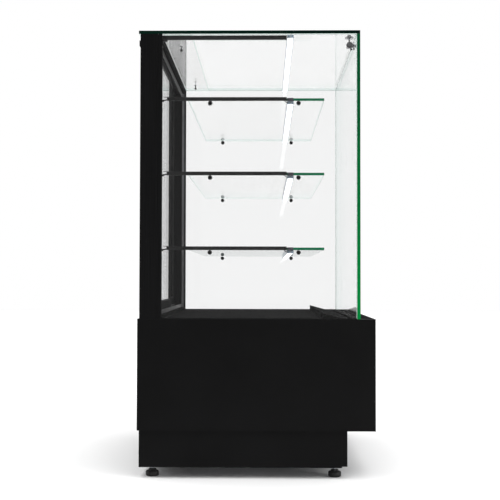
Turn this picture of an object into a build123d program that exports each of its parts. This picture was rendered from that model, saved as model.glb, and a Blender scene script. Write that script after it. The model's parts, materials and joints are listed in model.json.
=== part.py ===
from build123d import *
import os

# Square-glass refrigerated bakery case, in millimetres.
# X runs along the length, the customer side faces -Y, the operator side faces +Y, Z is up.
# The origin is on the floor, under the middle of the case.

# ---------------------------------------------------------------- driving dimensions
LENGTH = 900.0
DEPTH = 715.0
HEIGHT = 1350.0

FOOT_INSET_X = 60.0
PLINTH_BOTTOM = 34.0
BASE_BOTTOM = 145.0
RIM_TOP = 479.0
GLASS_T = 10.0  # top and front panes
SIDE_T = 8.0  # side panes and shelves
SHEET = 2.0
PANEL_T = 12.0  # depth of a folded panel
PAN_SHEET = 1.5

POST_W = 40.0  # along X
POST_REAR = 6.0  # distances measured forward from the rear of the case
POST_FRONT = 71.0
GROOVE_AT = 57.6
FRONT_GLASS_FROM_REAR = 660.0
TOP_GLASS_FROM_REAR = 1.0

SHELF_LEVELS = (690.0, 916.0, 1142.0)  # mid-thickness heights
SHELF_NAMES = ("shelf_bottom", "shelf_middle", "shelf_top")
SHELF_REAR = 150.0
SHELF_FRONT = 562.0
SHELF_GAP = 5.0  # to the side glass

DOOR_T = 20.0
DOOR_W = 430.0
DOOR_STILE = 40.0
DOOR_RAIL = 34.0
DOOR_CLEAR = 2.0
INNER_DOOR_FROM_REAR = 36.0
OUTER_DOOR_FROM_REAR = 12.0
TRACK_FIN = 2.0

LAMP_FROM_REAR = 450.0
LAMP_W = 20.0
LAMP_H = 8.0
DIFFUSER_W = 16.0

RUNNING = 0.05  # radial clearance of a running fit


# ---------------------------------------------------------------- helpers
def at_rear(distance):
    """Y of a place this far forward of the rear of the case."""
    return DEPTH / 2 - distance


def block(x, y, z):
    """A box from three (low, high) pairs."""
    size = [high - low for low, high in (x, y, z)]
    middle = [(high + low) / 2 for low, high in (x, y, z)]
    return Pos(*middle) * Box(*size)


def soften(solid, radius, axis):
    """Rounds the edges that run along one axis."""
    return fillet(solid.edges().filter_by(axis), radius)


def mirrored(x_low, x_high, side):
    """The same X stretch on the left (-1) or the right (+1)."""
    return (x_low, x_high) if side > 0 else (-x_high, -x_low)


def rod(start, direction, length, radius):
    """A round bar from a start point along a direction."""
    plane = Plane(origin=start, z_dir=direction)
    return plane * Pos(0, 0, length / 2) * Cylinder(radius, length)


def folded_pan(x, y, z, closed):
    """A tray of bent sheet: closed names the axis index and the side (0 low, 1 high) of its face."""
    axis, side = closed
    inner = [[low + PAN_SHEET, high - PAN_SHEET] for low, high in (x, y, z)]
    inner[axis][1 - side] = (x, y, z)[axis][1 - side]
    return block(x, y, z) - block(*inner)


def tube(start, direction, length, outer, inner):
    return rod(start, direction, length, outer) - rod(start, direction, length, inner)


def save(node, *solids):
    """Writes one sub-part; several solids go out as one group."""
    shape = solids[0] if len(solids) == 1 else Compound(children=list(solids))
    export_step(shape, f"parts/{node}.step")


HALF = LENGTH / 2
REAR = at_rear(0)
FRONT = at_rear(DEPTH)
TOP_UNDER = HEIGHT - GLASS_T
SIDE_INNER = HALF - SIDE_T
SHEET_TOP = (RIM_TOP - SHEET, RIM_TOP)


# ---------------------------------------------------------------- base cabinet
PLINTH_REAR = at_rear(5)
REAR_PANEL = (at_rear(32), at_rear(20))
LOUVRE = (56.0, 6.0)  # width, height
LOUVRE_PITCH = (68.0, 14.0)
LOUVRE_GRIDS = ((-304.0, 3), (168.0, 4))  # first column's X, columns
LOUVRE_ROWS = 9
LOUVRE_FIRST_Z = 178.0
CONTROL_X = (-330.0, -170.0)
CONTROL_Z = (392.0, 446.0)
GLAND_AT = (-20.0, 200.0)  # X, Z on the rear panel
FLOOR_T = 2.0
DECK_T = 3.0
DECK_FRONT = 557.5  # from the rear
DRAIN_AT = (40.0, 160.0)  # X, Y of the drain pipe
DRAIN_R = 7.0
SPOUT_R = 8.0
SPOUT_TOP = 140.0
SPOUT_LENGTH = 40.0


def end_panel(side):
    x = mirrored(HALF - PANEL_T, HALF, side)
    panel = folded_pan(x, (FRONT, REAR), (BASE_BOTTOM, RIM_TOP - SHEET), (0, int(side > 0)))
    outer = panel.edges().filter_by(Axis.Z).filter_by_position(Axis.X, side * HALF - 0.1, side * HALF + 0.1)
    return fillet(outer, 1.2)


def front_panel():
    inner = HALF - PANEL_T
    return folded_pan((-inner, inner), (FRONT, FRONT + PANEL_T), (BASE_BOTTOM, RIM_TOP - SHEET), (1, 0))


def rear_panel():
    inner = HALF - PANEL_T
    z = (BASE_BOTTOM + FLOOR_T, RIM_TOP - SHEET)
    panel = folded_pan((-inner, inner), REAR_PANEL, z, (1, 1))
    half_w, half_h = LOUVRE[0] / 2, LOUVRE[1] / 2
    for first, columns in LOUVRE_GRIDS:
        for column in range(columns):
            for row in range(LOUVRE_ROWS):
                x = first + column * LOUVRE_PITCH[0]
                z = LOUVRE_FIRST_Z + row * LOUVRE_PITCH[1]
                panel -= block((x - half_w, x + half_w), REAR_PANEL, (z - half_h, z + half_h))
    hole = 0.5
    panel -= block(
        (CONTROL_X[0] - hole, CONTROL_X[1] + hole), REAR_PANEL, (CONTROL_Z[0] - hole, CONTROL_Z[1] + hole)
    )
    x, z = GLAND_AT
    panel -= rod((x, REAR_PANEL[0], z), (0, 1, 0), PANEL_T, 8.0)
    return panel


def base_floor():
    """Bottom plate of the machine compartment, with an air intake and a hole for the drain."""
    inner = HALF - PANEL_T
    z = (BASE_BOTTOM, BASE_BOTTOM + FLOOR_T)
    plate = block((-inner, inner), (FRONT + PANEL_T, PLINTH_REAR), z)
    for i in range(6):
        x = 150 + i * 40
        plate -= block((x, x + 20), (-240, -100), z)
    plate -= rod((*DRAIN_AT, BASE_BOTTOM), (0, 0, 1), FLOOR_T, 10)
    return plate


def top_rims():
    """Flat strips that close the top of the end panels and of the rear."""
    width = 20.0
    ends = [block(mirrored(HALF - width, HALF, side), (FRONT, REAR), SHEET_TOP) for side in (-1, 1)]
    inner = HALF - width
    return (*ends, block((-inner, inner), (at_rear(POST_FRONT), REAR), SHEET_TOP))


def front_ledge():
    """Two strips with the air slot between them."""
    inner = HALF - 20.0
    front = block((-inner, inner), (FRONT, at_rear(651)), SHEET_TOP)
    rear = block((-inner, inner), (at_rear(641), at_rear(610)), SHEET_TOP)
    return front, rear


def deck():
    """Removable display floor."""
    width = HALF - 20.0
    return block((-width, width), (at_rear(DECK_FRONT), at_rear(POST_FRONT)), (RIM_TOP - DECK_T, RIM_TOP))


def air_deflector():
    """Bent sheet: an upright at the deck and a slope that falls to the ledge."""
    width = HALF - 20.0
    rear, front = at_rear(DECK_FRONT), at_rear(617)
    crest = RIM_TOP + 18
    outline = Polyline(
        (rear, RIM_TOP - DECK_T),
        (rear, crest),
        (front, RIM_TOP + SHEET),
        (front, RIM_TOP),
        (front + 6, RIM_TOP),
        (rear - SHEET, crest - SHEET * 1.5),
        (rear - SHEET, RIM_TOP - DECK_T),
        close=True,
    )
    face = Plane.YZ * make_face(outline)
    return Pos(-width, 0, 0) * extrude(face, width * 2, dir=(1, 0, 0))


def insulated_tub():
    """Foam panels that hold the cold air under the deck: a bottom and four sides."""
    x, y, z = (-430.0, 430.0), (-278.0, 296.0), (326.0, RIM_TOP - 3)
    wall = 24.0
    bottom = block(x, y, (z[0], z[0] + wall))
    bottom -= rod((*DRAIN_AT, z[0]), (0, 0, 1), wall, DRAIN_R)
    sides = [block(mirrored(x[1] - wall, x[1], side), y, (z[0] + wall, z[1])) for side in (-1, 1)]
    inner = (x[0] + wall, x[1] - wall)
    front = block(inner, (y[0], y[0] + wall), (z[0] + wall, z[1]))
    rear = block(inner, (y[1] - wall, y[1]), (z[0] + wall, z[1]))
    return (bottom, *sides, front, rear)


# ---------------------------------------------------------------- plinth and feet
PLINTH_X = HALF - PANEL_T
PLINTH_FRONT = at_rear(631)
KICK_T = 16.0
PLINTH_T = 3.0
FOOT_Y = (at_rear(596), at_rear(41))
FOOT_X = HALF - FOOT_INSET_X
FOOT_R = 20.0
FOOT_H = 22.0
STUD_R = 5.0


def plinth_panels():
    """The plinth's two end panels and its rear panel."""
    y = (PLINTH_FRONT + KICK_T, PLINTH_REAR)
    z = (PLINTH_BOTTOM, BASE_BOTTOM)
    ends = [block(mirrored(PLINTH_X - PLINTH_T, PLINTH_X, side), y, z) for side in (-1, 1)]
    inner = PLINTH_X - PLINTH_T
    return (*ends, block((-inner, inner), (PLINTH_REAR - PLINTH_T, PLINTH_REAR), z))


def plinth_front():
    x = (-PLINTH_X, PLINTH_X)
    return folded_pan(x, (PLINTH_FRONT, PLINTH_FRONT + KICK_T), (PLINTH_BOTTOM + 4, BASE_BOTTOM), (1, 0))


def foot_brackets():
    """Four plates across the plinth corners, each with a nut that takes a foot's stud."""
    plates = []
    for side in (-1, 1):
        for y in FOOT_Y:
            x = side * FOOT_X
            low = max(y - 30, PLINTH_FRONT + KICK_T)
            plate = block(mirrored(FOOT_X - 30, PLINTH_X - PLINTH_T, side), (low, y + 30), (40, 46))
            plate += rod((x, y, 46), (0, 0, 1), 12, 12)
            plates.append(plate - rod((x, y, 40), (0, 0, 1), 18, STUD_R + RUNNING))
    return plates


def foot(x, y):
    """Adjustable foot: a rounded pad on a threaded stud."""
    profile = make_face(
        Polyline(
            (0, 0),
            (FOOT_R - 2, 0),
            (FOOT_R, 2.5),
            (FOOT_R, 13),
            (FOOT_R - 4, 17),
            (9, FOOT_H),
            (STUD_R, FOOT_H),
            (STUD_R, 76),
            (STUD_R - 1, 77),
            (0, 77),
            close=True,
        )
    )
    return Pos(x, y, 0) * revolve(Plane.XZ * profile, Axis.Z)


# ---------------------------------------------------------------- rear frame and door tracks
POST_Y = (at_rear(POST_FRONT), at_rear(POST_REAR))
SILL_Z = (RIM_TOP, RIM_TOP + 10)
HEADER_Z = (TOP_UNDER - 18, TOP_UNDER)
TRACK_WEB = 3.0
LOWER_FIN_TOP = SILL_Z[1] + 13
UPPER_FIN_BOTTOM = HEADER_Z[0] - 19
OPENING_X = HALF - POST_W
FIN_Y = (
    at_rear(INNER_DOOR_FROM_REAR + DOOR_T + 4),
    at_rear(OUTER_DOOR_FROM_REAR + DOOR_T + 3),
    at_rear(OUTER_DOOR_FROM_REAR - 1.5),
)


def rear_post(side):
    """Hollow upright with a narrower nose that meets the side glass, and a groove between them."""
    z = (RIM_TOP, TOP_UNDER)
    wall = 3.0
    groove = 1.2
    body = block(mirrored(HALF - POST_W, HALF, side), (at_rear(GROOVE_AT), POST_Y[1]), z)
    body -= block(
        mirrored(HALF - POST_W + wall, HALF - wall, side),
        (at_rear(GROOVE_AT) + wall, POST_Y[1] - wall),
        z,
    )
    nose = block(mirrored(HALF - 24, HALF, side), (POST_Y[0], at_rear(GROOVE_AT)), z)
    slit = block(
        mirrored(HALF - groove, HALF, side), (at_rear(GROOVE_AT) - groove, at_rear(GROOVE_AT)), z
    )
    return body + nose - slit


def header():
    return block((-OPENING_X, OPENING_X), POST_Y, HEADER_Z)


def header_trim():
    """Strip across the rear of the posts that covers the upper track."""
    trim = block((-HALF, HALF), (POST_Y[1], POST_Y[1] + 3), (UPPER_FIN_BOTTOM, HEADER_Z[0] - 2))
    return soften(trim, 0.8, Axis.X)


def rear_sill():
    return block((-OPENING_X, OPENING_X), POST_Y, SILL_Z)


def door_track(web_z, fin_z):
    """A web with three fins that guide the two doors."""
    x = (-OPENING_X, OPENING_X)
    track = block(x, (FIN_Y[0], FIN_Y[2] + TRACK_FIN), web_z)
    for y in FIN_Y:
        track += block(x, (y, y + TRACK_FIN), fin_z)
    return track


def door_tracks():
    lower_web = (SILL_Z[1], SILL_Z[1] + TRACK_WEB)
    upper_web = (HEADER_Z[0] - TRACK_WEB, HEADER_Z[0])
    lower = door_track(lower_web, (SILL_Z[1], LOWER_FIN_TOP))
    upper = door_track(upper_web, (UPPER_FIN_BOTTOM, HEADER_Z[0]))
    return lower, upper


# ---------------------------------------------------------------- sliding doors
DOOR_Z = (SILL_Z[1] + TRACK_WEB + 1.0, HEADER_Z[0] - TRACK_WEB - 3.0)
PANE_T = 4.0
PANE_GAP = 6.0
POCKET = 7.0  # how deep the glazing sits in the frame
DOOR_TRAVEL = 2 * (OPENING_X - DOOR_CLEAR) - DOOR_W


def door_span(side):
    """X stretch of a closed door: the left door is at -1."""
    low = -OPENING_X + DOOR_CLEAR
    return (low, low + DOOR_W) if side < 0 else (-low - DOOR_W, -low)


def glazing(side, from_rear):
    """Double glazing: an inner and an outer pane."""
    x = door_span(side)
    middle = at_rear(from_rear + DOOR_T / 2)
    x_in = (x[0] + DOOR_STILE - POCKET, x[1] - DOOR_STILE + POCKET)
    z_in = (DOOR_Z[0] + DOOR_RAIL - POCKET, DOOR_Z[1] - DOOR_RAIL + POCKET)
    offset = PANE_GAP / 2
    rear = block(x_in, (middle + offset, middle + offset + PANE_T), z_in)
    front = block(x_in, (middle - offset - PANE_T, middle - offset), z_in)
    return rear, front


def door_frame(side, from_rear):
    """Two stiles and two rails with a glazing pocket, and a finger pull in the outer stile."""
    x = door_span(side)
    y = (at_rear(from_rear + DOOR_T), at_rear(from_rear))
    middle = (y[0] + y[1]) / 2
    depth = PANE_GAP / 2 + PANE_T
    pocket = block(
        (x[0] + DOOR_STILE - POCKET, x[1] - DOOR_STILE + POCKET),
        (middle - depth, middle + depth),
        (DOOR_Z[0] + DOOR_RAIL - POCKET, DOOR_Z[1] - DOOR_RAIL + POCKET),
    )
    stiles = {
        -1: block((x[0], x[0] + DOOR_STILE), y, DOOR_Z),
        1: block((x[1] - DOOR_STILE, x[1]), y, DOOR_Z),
    }
    pull_x = (x[0] + 9, x[0] + 27) if side < 0 else (x[1] - 27, x[1] - 9)
    pull = soften(block(pull_x, (y[1] - 8, y[1]), (840, 960)), 4, Axis.Y)
    stiles[side] -= pull
    rail_x = (x[0] + DOOR_STILE, x[1] - DOOR_STILE)
    lower = block(rail_x, y, (DOOR_Z[0], DOOR_Z[0] + DOOR_RAIL))
    upper = block(rail_x, y, (DOOR_Z[1] - DOOR_RAIL, DOOR_Z[1]))
    return [piece - pocket for piece in (stiles[-1], stiles[1], lower, upper)]


# ---------------------------------------------------------------- glass box
FRONT_GLASS_Y = (at_rear(FRONT_GLASS_FROM_REAR + GLASS_T), at_rear(FRONT_GLASS_FROM_REAR))
STRIP_Y = (at_rear(161), at_rear(76))
STRIP_T = 5.0
STUD_X = 313.0
CLAMP_STAND_OFF = 7.0


def top_glass():
    pane = block((-HALF, HALF), (FRONT_GLASS_Y[0], at_rear(TOP_GLASS_FROM_REAR)), (TOP_UNDER, HEIGHT))
    return chamfer(pane.edges(), 0.6)


def front_glass():
    pane = block((-HALF, HALF), FRONT_GLASS_Y, (RIM_TOP, TOP_UNDER))
    return chamfer(pane.edges(), 0.6)


def side_glass(side):
    y = (FRONT_GLASS_Y[1], POST_Y[0])
    pane = block(mirrored(SIDE_INNER, HALF, side), y, (RIM_TOP, TOP_UNDER))
    return chamfer(pane.edges(), 0.6)


def rear_glass_strip():
    width = SIDE_INNER - 9.5  # clears the top conduit
    return block((-width, width), STRIP_Y, (TOP_UNDER - STRIP_T, TOP_UNDER))


def strip_studs():
    """Two round hangers below the rear glass strip."""
    studs = []
    top = TOP_UNDER - STRIP_T
    for side in (-1, 1):
        start = (side * STUD_X, at_rear(118), top)
        stud = rod(start, (0, 0, -1), 2, 5) + rod(start, (0, 0, -1), 16, 2.5)
        studs.append(stud + rod((start[0], start[1], top - 16), (0, 0, -1), 5, 4))
    return studs


def corner_clamp():
    """Three-way glass connector: a cube with an arm and a disc for each of three panes."""
    middle = Vector(-HALF + SIDE_T + 19, at_rear(639), TOP_UNDER - 32)
    cube = Pos(middle.X, middle.Y, middle.Z) * Box(13, 13, 13)
    arms = (
        ((0, 0, 1), TOP_UNDER - middle.Z, 13.5),
        ((-1, 0, 0), middle.X + SIDE_INNER, 10.5),
        ((0, -1, 0), middle.Y - FRONT_GLASS_Y[1], 12.0),
    )
    clamp = cube
    for direction, reach, radius in arms:
        back = Vector(*direction) * -1
        disc_at = middle - back * (reach - CLAMP_STAND_OFF)
        clamp += rod(tuple(middle), direction, reach, 4)
        clamp += rod(tuple(disc_at), tuple(back), 6, radius)
    return clamp


# ---------------------------------------------------------------- shelves, pins and wiring
SHELF_X = SIDE_INNER - SHELF_GAP
PIN_PLACES = (217.0, 484.5)
PIN_R = 7.0
PAD_T = 1.5
CHANNEL_X = (-SIDE_INNER + 0.5, -SHELF_X)
CHANNEL_Z = (-SIDE_T / 2, SIDE_T / 2 + 3)  # about a shelf's mid-thickness
CHANNEL_REAR = 86.0
TOP_CHANNEL_Z = (TOP_UNDER - 15.5, TOP_UNDER - 3)
LEAD_R = 1.8


def shelf(level):
    pane = block(
        (-SHELF_X, SHELF_X),
        (at_rear(SHELF_FRONT), at_rear(SHELF_REAR)),
        (level - SIDE_T / 2, level + SIDE_T / 2),
    )
    return chamfer(soften(pane, 3, Axis.Z).edges(), 0.5)


def shelf_pins(x_near_glass, length, radius):
    """One round piece at each of the twelve places, on the inner faces of the side panes."""
    pieces = []
    for level in SHELF_LEVELS:
        for side in (-1, 1):
            for place in PIN_PLACES:
                start = (side * x_near_glass, at_rear(place), level - SIDE_T / 2 - PIN_R)
                pieces.append(rod(start, (-side, 0, 0), length, radius))
    return pieces


def wire_channels():
    """Flat conduits at the left end: one on each shelf's edge, one below the top glass."""
    y = (at_rear(LAMP_FROM_REAR) + 1.5, at_rear(CHANNEL_REAR))
    shelf_ones = [
        soften(block(CHANNEL_X, y, (level + CHANNEL_Z[0], level + CHANNEL_Z[1])), 0.8, Axis.Y)
        for level in SHELF_LEVELS
    ]
    top = block((-SIDE_INNER + 0.5, -SIDE_INNER + 9), (y[0], POST_Y[0]), TOP_CHANNEL_Z)
    return (*shelf_ones, soften(top, 1, Axis.Y))


def lamp_leads():
    """Short straight leads, each from a plug on the post to the rear of a shelf's conduit."""
    leads = []
    x = sum(CHANNEL_X) / 2
    for level in SHELF_LEVELS:
        start = Vector(x, POST_Y[0], level - 4)
        end = Vector(x, at_rear(CHANNEL_REAR), level - 1)
        run = end - start
        lead = rod(tuple(start), tuple(run.normalized()), run.length, LEAD_R)
        lead += block((x - 2, x + 2), (POST_Y[0] - 6, POST_Y[0]), (level - 7, level - 1))
        lead -= block(CHANNEL_X, (end.Y - 5, end.Y), (level - 6, level + 6))
        leads.append(lead - block(CHANNEL_X, (start.Y, start.Y + 5), (level - 9, level)))
    return leads


LAMP_X = SHELF_X - 5
LAMP_TOPS = tuple(level - SIDE_T / 2 for level in SHELF_LEVELS) + (TOP_UNDER,)
LAMP_Y = (at_rear(LAMP_FROM_REAR + LAMP_W), at_rear(LAMP_FROM_REAR))
LAMP_MIDDLE = (LAMP_Y[0] + LAMP_Y[1]) / 2


def lamp_housing(top):
    return soften(block((-LAMP_X, LAMP_X), LAMP_Y, (top - LAMP_H, top)), 1, Axis.X)


def lamp_diffuser(top):
    """Shallow bowed strip below the housing."""
    half, drop = DIFFUSER_W / 2, 4.0
    low = top - LAMP_H
    bow = ThreePointArc((LAMP_MIDDLE + half, low), (LAMP_MIDDLE, low - drop), (LAMP_MIDDLE - half, low))
    face = Plane.YZ * make_face(bow + Line((LAMP_MIDDLE - half, low), (LAMP_MIDDLE + half, low)))
    return Pos(-LAMP_X, 0, 0) * extrude(face, LAMP_X * 2, dir=(1, 0, 0))


def lamp_end_caps():
    caps = []
    for top in LAMP_TOPS:
        for side in (-1, 1):
            x = mirrored(LAMP_X, LAMP_X + 4, side)
            cap = block(x, (LAMP_Y[0] - 1, LAMP_Y[1] + 1), (top - LAMP_H - 4.5, top))
            caps.append(soften(cap, 2, Axis.X))
    for level in SHELF_LEVELS:
        y = (LAMP_Y[0] - 1, LAMP_Y[1] + 1)
        z = (level - SIDE_T / 2 - 7, level + SIDE_T / 2 + 1)
        caps.append(soften(block((CHANNEL_X[0], CHANNEL_X[1] - 0.2), y, z), 1.5, Axis.X))
    return caps


# ---------------------------------------------------------------- refrigeration
FLOOR_TOP = BASE_BOTTOM + FLOOR_T
COMPRESSOR_AT = (-230.0, 120.0)
COIL_X = (130.0, 410.0)
COIL_Y = (268.0, 308.0)
COIL_Z = (FLOOR_TOP + 6, 312.0)
FAN_AT = (270.0, 234.0)  # X, Z of the condenser fan's axis
FAN_R = 66.0
EVAP_X = (-280.0, 280.0)
EVAP_Y = (20.0, 100.0)
EVAP_Z = (358.0, 446.0)
EVAP_FAN_AT = (0.0, 404.0)
EVAP_FAN_R = 40.0
SHAFT_R = 4.0


def compressor():
    """Welded can on a base plate with three pipe stubs."""
    x, y = COMPRESSOR_AT
    plate = block((x - 95, x + 95), (y - 60, y + 60), (FLOOR_TOP, FLOOR_TOP + 10))
    can = Pos(x, y, FLOOR_TOP + 10 + 65) * Cylinder(72, 130)
    can = fillet(can.edges().filter_by(GeomType.CIRCLE), 26)
    box = block((x + 60, x + 88), (y - 30, y + 30), (FLOOR_TOP + 40, FLOOR_TOP + 100))
    return plate + can + box


def coil(x, y, z, fins):
    """Finned coil: end plates, a core and upright fins."""
    end = 4.0
    core = block((x[0] + end, x[1] - end), (y[0] + 6, y[1] - 6), (z[0] + 4, z[1] - 4))
    body = core + block((x[0], x[0] + end), y, z) + block((x[1] - end, x[1]), y, z)
    pitch = (x[1] - x[0] - 2 * end) / (fins + 1)
    for i in range(fins):
        middle = x[0] + end + pitch * (i + 1)
        body += block((middle - 0.6, middle + 0.6), y, z)
    return body


def fan_frame(at, y, half, radius, motor_side):
    """Square plate with a round opening, and a motor on three arms."""
    x, z = at
    plate = block((x - half, x + half), y, (z - half, z + half))
    plate -= rod((x, y[0], z), (0, 1, 0), y[1] - y[0], radius + 4)
    motor_y = y[1] if motor_side > 0 else y[0]
    direction = (0, motor_side, 0)
    start = (x, motor_y + motor_side * 8, z)
    motor = rod(start, direction, 26, radius * 0.36)
    shaft = rod(start, (0, -motor_side, 0), 8 + y[1] - y[0] + 4, SHAFT_R)
    frame = plate + motor + shaft
    for angle in (90, 210, 330):
        arm = Pos(0, 0, (radius + 8) / 2) * Box(8, 5, radius + 8)
        arm = Pos(x, start[1] + motor_side * 2.5, z) * Rot(0, angle - 90, 0) * arm
        post = Pos(0, 0, radius + 6) * Box(8, 14, 6)
        post = Pos(x, motor_y + motor_side * 6, z) * Rot(0, angle - 90, 0) * post
        frame += arm + post
    return frame


def fan_blades(at, y, radius, blades):
    """Hub with pitched blades that turns on the motor's shaft."""
    x, z = at
    length = y[1] - y[0]
    hub_r = radius * 0.3
    wheel = rod((x, y[0], z), (0, 1, 0), length, hub_r)
    for i in range(blades):
        blade = Pos(0, 0, (radius + hub_r) / 2 - 1) * Rot(0, 0, 32) * Box(radius * 0.62, 2, radius - hub_r + 2)
        wheel += Pos(x, (y[0] + y[1]) / 2, z) * Rot(0, 360 / blades * i, 0) * blade
    wheel &= rod((x, y[0], z), (0, 1, 0), length, radius)
    return wheel - rod((x, y[0], z), (0, 1, 0), length, SHAFT_R + RUNNING)


def pipe(radius, bend, *points):
    """Round copper pipe along straight runs with rounded corners."""
    path = FilletPolyline(*points, radius=bend)
    start = Plane(origin=path @ 0, z_dir=path % 0)
    return sweep(start * Circle(radius), path=path)


def refrigerant_pipes():
    """Discharge pipe to the condenser, liquid pipe to the tub and suction pipe back to the can."""
    x, y = COMPRESSOR_AT
    can_top = FLOOR_TOP + 140
    high, low, beside = 306.0, 175.0, 288.0
    discharge = pipe(
        3.0,
        14,
        (x + 20, y, can_top),
        (x + 20, y, high),
        (x + 20, 200, high),
        (COIL_X[0] - 22, 200, high),
        (COIL_X[0] - 22, beside, high),
        (COIL_X[0], beside, high),
    )
    liquid = pipe(
        3.0,
        14,
        (COIL_X[0], beside, low),
        (COIL_X[0] - 22, beside, low),
        (COIL_X[0] - 22, 240, low),
        (60, 240, low),
        (60, 240, 326),
    )
    suction = rod((x - 25, y, can_top), (0, 0, 1), 326 - can_top, 4)
    return discharge, liquid, suction


def drain_pipe():
    """Pipe down from the tub that ends in a wider hose spout."""
    upper = tube((*DRAIN_AT, 340), (0, 0, -1), 340 - SPOUT_TOP, DRAIN_R, DRAIN_R - 1.5)
    spout = tube((*DRAIN_AT, SPOUT_TOP), (0, 0, -1), SPOUT_LENGTH, SPOUT_R, DRAIN_R - 1.5)
    return upper + spout


# ---------------------------------------------------------------- controls on the rear panel
CONTROL_FACE = REAR_PANEL[1] + 3
BUTTON_R = 4.0
BUTTON_Z = 405.0
BUTTONS = (("button_down", -236.0), ("button_up", -220.0), ("button_set", -204.0))
SWITCHES = (("light_switch", -285.0), ("power_switch", -311.0))
SWITCH_SIZE = (13.0, 22.0)
SWITCH_Z = 419.0
SWITCH_Y = CONTROL_FACE - 3
SWITCH_TILT = 9.0


def control_box():
    """Housing with a raised face, wells for two rockers and bores for three buttons."""
    box = block(CONTROL_X, (REAR_PANEL[0] - 22, CONTROL_FACE), CONTROL_Z)
    box = soften(box, 2, Axis.Y)
    for _, x in BUTTONS:
        box -= rod((x, CONTROL_FACE - 8, BUTTON_Z), (0, 1, 0), 8, BUTTON_R + 0.3)
    for _, x in SWITCHES:
        width, height = SWITCH_SIZE
        box -= block(
            (x - width / 2 - 0.5, x + width / 2 + 0.5),
            (CONTROL_FACE - 14, CONTROL_FACE),
            (SWITCH_Z - height / 2 - 1, SWITCH_Z + height / 2 + 1),
        )
    window = block((-245, -195), (CONTROL_FACE - 1.5, CONTROL_FACE), (416, 440))
    return box - window


def button(x):
    cap = rod((x, CONTROL_FACE - 5, BUTTON_Z), (0, 1, 0), 7, BUTTON_R)
    return chamfer(cap.edges().filter_by(GeomType.CIRCLE).group_by(Axis.Y)[-1], 0.6)


def rocker(x):
    """Rocker with a shallow V face, tipped about its pin."""
    width, height = SWITCH_SIZE
    outline = Polyline(
        (-4, -height / 2 + 1),
        (3.5, -height / 2 + 1),
        (2.4, 0),
        (3.5, height / 2 - 1),
        (-4, height / 2 - 1),
        close=True,
    )
    body = Pos(-width / 2, 0, 0) * extrude(Plane.YZ * make_face(outline), width, dir=(1, 0, 0))
    return Pos(x, SWITCH_Y, SWITCH_Z) * Rot(SWITCH_TILT, 0, 0) * body


def cable_gland():
    """Threaded body through the rear panel with a domed nut outside, bored for the supply cord."""
    x, z = GLAND_AT
    start = (x, REAR_PANEL[0] - 6, z)
    body = rod(start, (0, 1, 0), 18, 7.9)
    body += rod(start, (0, 1, 0), 6, 11)
    nut = rod((x, REAR_PANEL[1], z), (0, 1, 0), 14, 11)
    nut = chamfer(nut.edges().filter_by(GeomType.CIRCLE).group_by(Axis.Y)[-1], 3)
    return body + nut - rod(start, (0, 1, 0), 32, 4.5)


# ---------------------------------------------------------------- writing the sub-parts
def write_base():
    for name, side in (("left", -1), ("right", 1)):
        save(f"end_panel_{name}", end_panel(side))
    save("front_panel", front_panel())
    save("rear_panel", rear_panel())
    save("base_floor", base_floor())
    save("top_rims", *top_rims())
    save("front_ledge", *front_ledge())
    save("deck", deck())
    save("air_deflector", air_deflector())
    save("insulated_tub", *insulated_tub())
    save("plinth_front", plinth_front())
    save("plinth_panels", *plinth_panels())
    save("foot_brackets", *foot_brackets())
    for end, y in zip(("front", "rear"), FOOT_Y):
        for name, side in (("left", -1), ("right", 1)):
            save(f"foot_{end}_{name}", foot(side * FOOT_X, y))


def write_rear_frame():
    for name, side in (("left", -1), ("right", 1)):
        save(f"rear_post_{name}", rear_post(side))
        save(f"side_glass_{name}", side_glass(side))
    save("header", header())
    save("header_trim", header_trim())
    save("rear_sill", rear_sill())
    save("door_tracks", *door_tracks())
    for name, side, place in (("inner", -1, INNER_DOOR_FROM_REAR), ("outer", 1, OUTER_DOOR_FROM_REAR)):
        save(f"{name}_door_frame", *door_frame(side, place))
        save(f"{name}_door_glass", *glazing(side, place))


def write_display():
    save("top_glass", top_glass())
    save("front_glass", front_glass())
    save("rear_glass_strip", rear_glass_strip())
    save("strip_studs", *strip_studs())
    save("corner_clamp", corner_clamp())
    for name, level in zip(SHELF_NAMES, SHELF_LEVELS):
        save(name, shelf(level))
    save("shelf_pin_pads", *shelf_pins(SIDE_INNER, PAD_T, PIN_R))
    save("shelf_pins", *shelf_pins(SIDE_INNER - PAD_T, 16, PIN_R))
    save("wire_channels", *wire_channels())
    save("lamp_leads", *lamp_leads())
    save("lamp_housings", *[lamp_housing(top) for top in LAMP_TOPS])
    save("lamp_diffusers", *[lamp_diffuser(top) for top in LAMP_TOPS])
    save("lamp_end_caps", *lamp_end_caps())


def write_machinery():
    save("compressor", compressor())
    save("condenser_coil", coil(COIL_X, COIL_Y, COIL_Z, 24))
    save("condenser_fan_frame", fan_frame(FAN_AT, (256, 262), 78, FAN_R, -1))
    save("condenser_fan", fan_blades(FAN_AT, (249, 261), FAN_R, 5))
    save("evaporator_coil", coil(EVAP_X, EVAP_Y, EVAP_Z, 40))
    save("evaporator_fan_frame", fan_frame(EVAP_FAN_AT, (4, 10), 52, EVAP_FAN_R, -1))
    save("evaporator_fan", fan_blades(EVAP_FAN_AT, (0, 10), EVAP_FAN_R, 5))
    save("refrigerant_pipes", *refrigerant_pipes())
    save("drain_pipe", drain_pipe())
    save("control_box", control_box())
    for name, x in BUTTONS:
        save(name, button(x))
    for name, x in SWITCHES:
        save(name, rocker(x))
    save("cable_gland", cable_gland())


write_base()
write_rear_frame()
write_display()
write_machinery()
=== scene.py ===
import bmesh
import bpy
import json
import math
from mathutils import Matrix, Vector


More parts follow.
